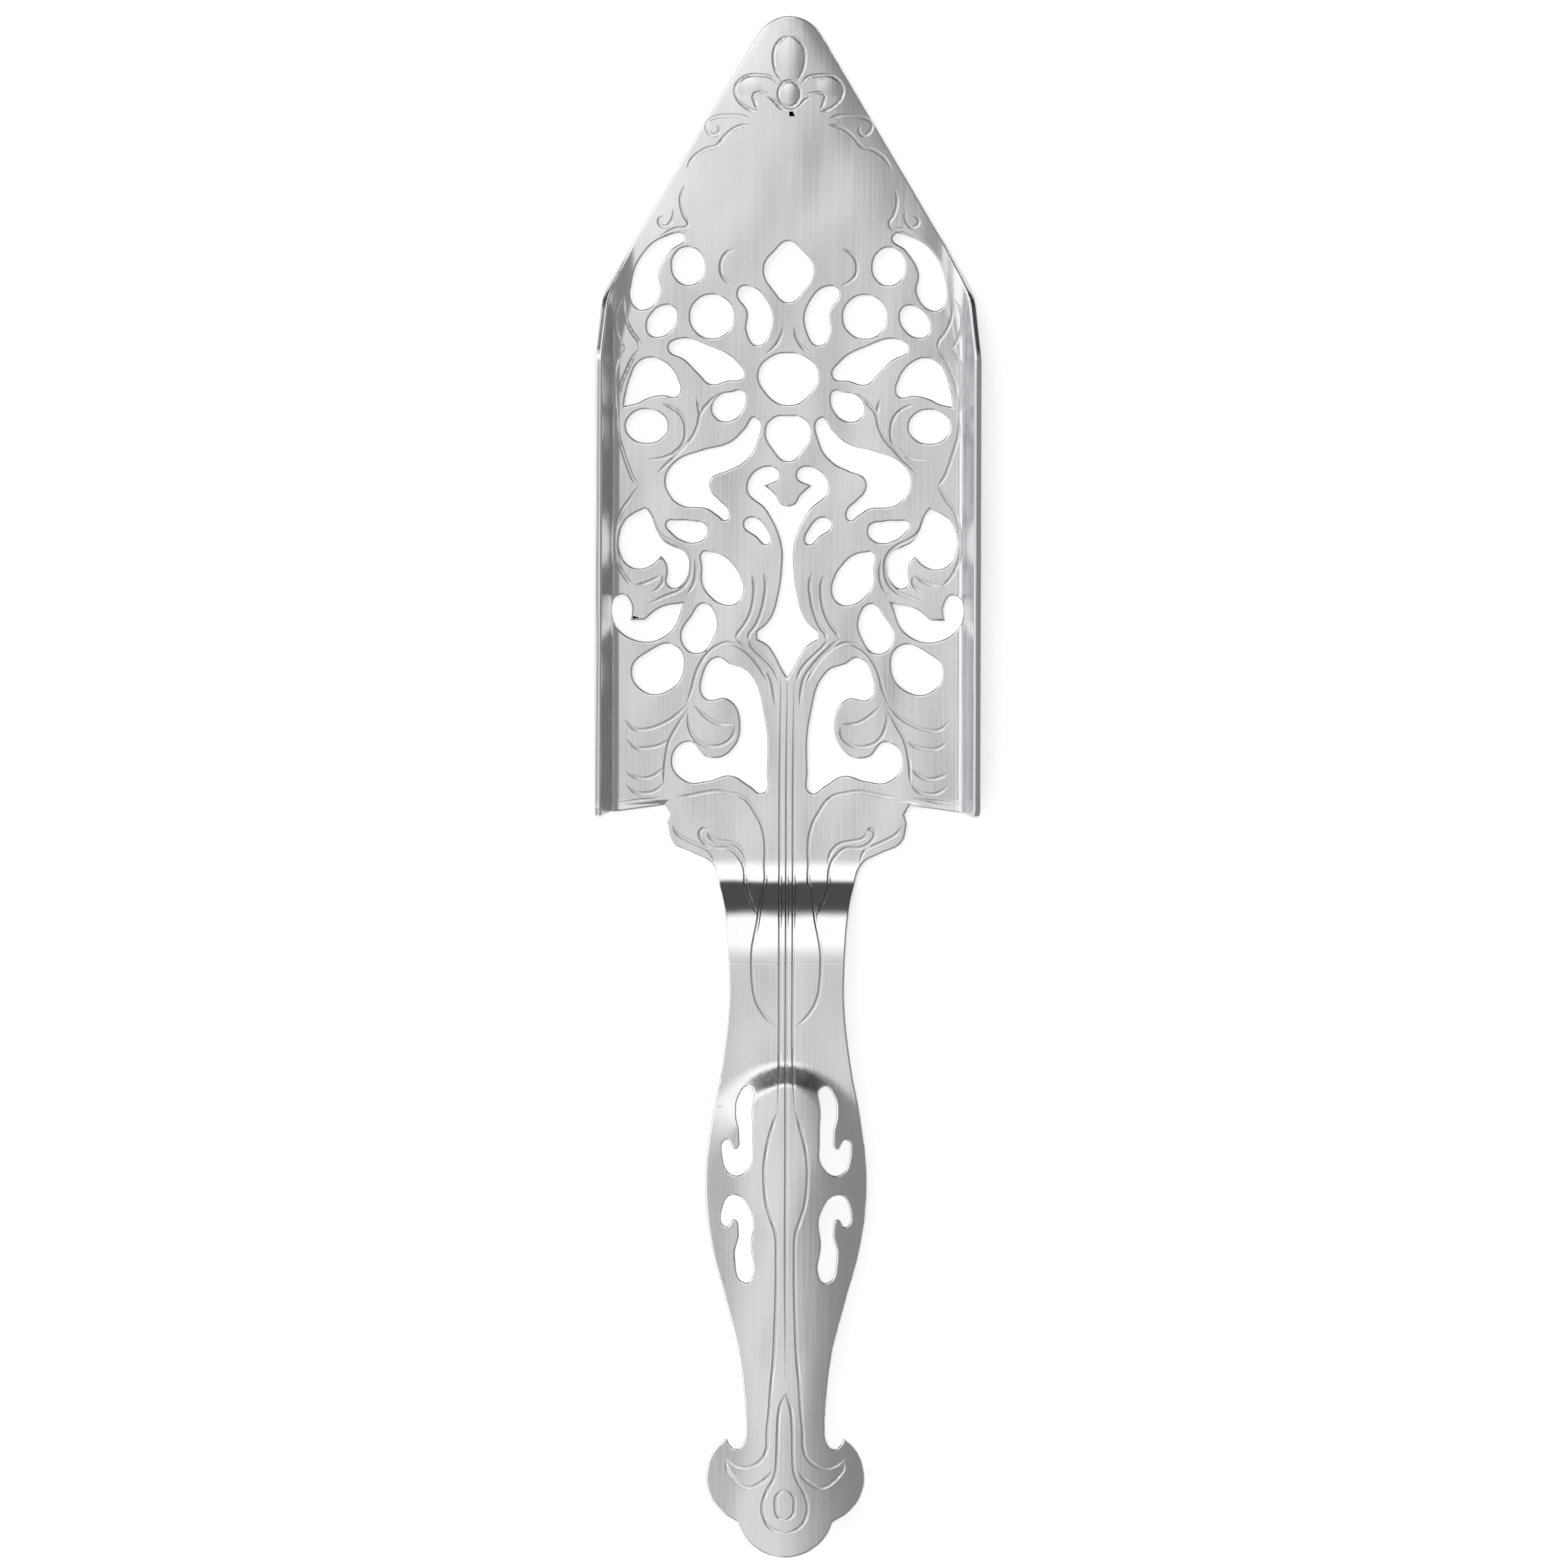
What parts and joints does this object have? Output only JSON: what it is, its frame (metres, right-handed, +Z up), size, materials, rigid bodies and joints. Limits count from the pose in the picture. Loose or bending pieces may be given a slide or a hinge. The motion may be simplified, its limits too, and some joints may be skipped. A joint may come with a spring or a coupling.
{
  "type": "absinthe spoon",
  "caption": "Flat pierced blade with side walls folded up and a pointed tip, a stepped neck and a crowned, slotted handle with a lobed end, all one steel sheet",
  "frame": {"origin": "centre of the spoon's bounding box on the surface that the blade lies on", "axes": "+Y along the spoon to the blade's tip, +X across, +Z up out of the tray between the folded walls"},
  "size_m": [0.0416, 0.165, 0.0065],
  "materials": {
    "steel": "brushed flat faces, polished bends and edges"
  },
  "bodies": {
    "root": {"spoon": "steel"}
  },
  "joints": []
}
